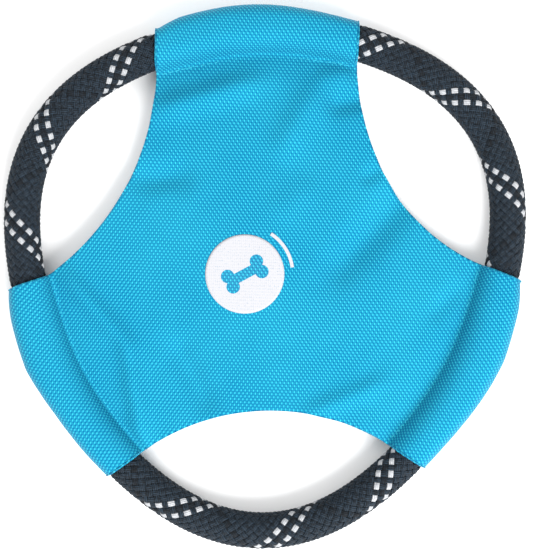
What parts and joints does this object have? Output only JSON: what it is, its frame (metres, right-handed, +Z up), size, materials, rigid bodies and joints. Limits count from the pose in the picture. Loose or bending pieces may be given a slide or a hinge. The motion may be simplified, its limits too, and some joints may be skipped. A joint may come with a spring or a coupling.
{
  "type": "flying ring",
  "caption": "Soft throw-and-tug ring: a braided rope ring held in the sleeves of a lobed cloth body.",
  "frame": {"origin": "on the surface the ring lies on, at the middle of its outline seen from above", "axes": "+Z up, out of the printed face; +Y towards the top sleeve; +X to the right seen from the printed face"},
  "size_m": [0.2319, 0.2416, 0.0199],
  "materials": {
    "face_cloth": "woven heavy nylon, slight sheen",
    "lining_cloth": "woven nylon, coated inside",
    "thread": "bonded polyester thread",
    "print": "white printed film on the weave",
    "braid": "braided polyester, dark with two light tracers",
    "core_fibre": "laid undyed fibre",
    "splice_tape": "wound tape"
  },
  "bodies": {
    "cloth_body": {"outer_panel": "face_cloth", "lining_panel": "lining_cloth", "edge_seam_left": "thread", "edge_seam_right": "thread", "edge_seam_bottom": "thread", "sleeve_seam_top": "thread", "sleeve_seam_left": "thread", "sleeve_seam_right": "thread", "print_disc": "print", "print_arc": "print"},
    "rope_ring": {"rope_sheath": "braid", "core_strand_1": "core_fibre", "core_strand_2": "core_fibre", "core_strand_3": "core_fibre", "core_strand_4": "core_fibre", "core_strand_5": "core_fibre", "core_strand_6": "core_fibre", "core_strand_7": "core_fibre", "splice_wrap": "splice_tape"}
  },
  "joints": [
    {"name": "rope_creep", "type": "hinge", "parent": "cloth_body", "child": "rope_ring", "pos_m": [-0.00028, 0.0045, 0.00975], "axis": [0, 0, 1], "range_deg": [-3, 3]}
  ]
}
